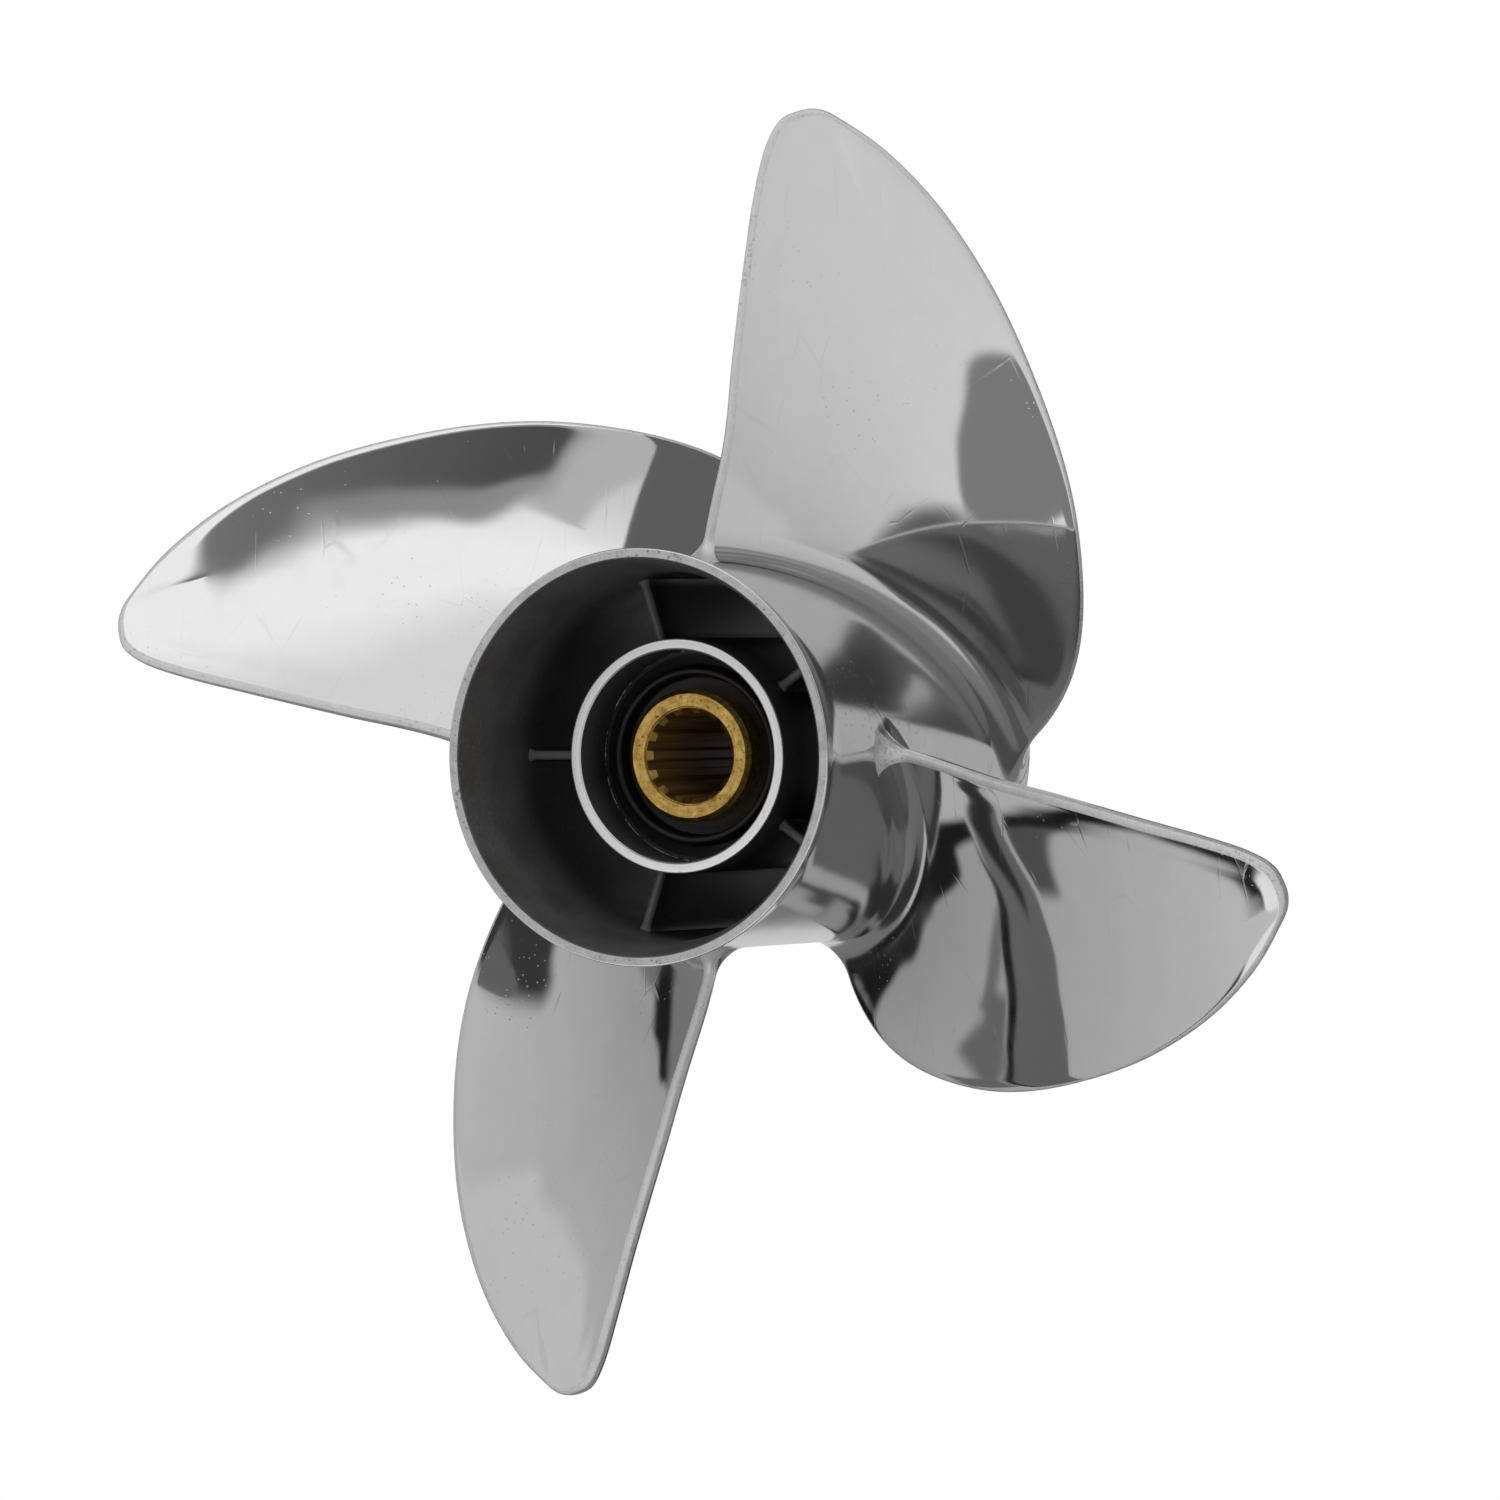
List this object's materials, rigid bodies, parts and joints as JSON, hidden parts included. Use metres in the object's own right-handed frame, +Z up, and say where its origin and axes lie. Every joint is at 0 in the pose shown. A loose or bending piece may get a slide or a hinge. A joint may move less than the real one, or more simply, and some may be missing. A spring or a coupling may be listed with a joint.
{
  "type": "boat propeller",
  "caption": "Right-hand boat propeller: wide blades on a flared through-exhaust hub, with ribs, an inner hub, a rubber drive bushing and a splined brass sleeve.",
  "frame": {"origin": "on the shaft axis, at half the outer hub's length", "axes": "+Y along the shaft towards the boat (forward), -Y aft with the pressure faces, +Z up; turning ahead, the propeller turns clockwise seen from aft"},
  "size_m": [0.3568, 0.148, 0.3568],
  "materials": {
    "polished_steel": "polished stainless steel, mirror-like with fine scratches",
    "cast_steel": "dark, as-cast stainless steel",
    "black_rubber": "satin black rubber",
    "brass": "machined brass"
  },
  "bodies": {
    "root": {"outer_hub": "polished_steel", "inner_hub": "cast_steel", "rib_1": "cast_steel", "rib_2": "cast_steel", "rib_3": "cast_steel", "rib_4": "cast_steel", "rib_5": "cast_steel", "blade_1": "polished_steel", "blade_2": "polished_steel", "blade_3": "polished_steel", "blade_4": "polished_steel", "rubber_bushing": "black_rubber", "spline_sleeve": "brass"}
  },
  "joints": []
}
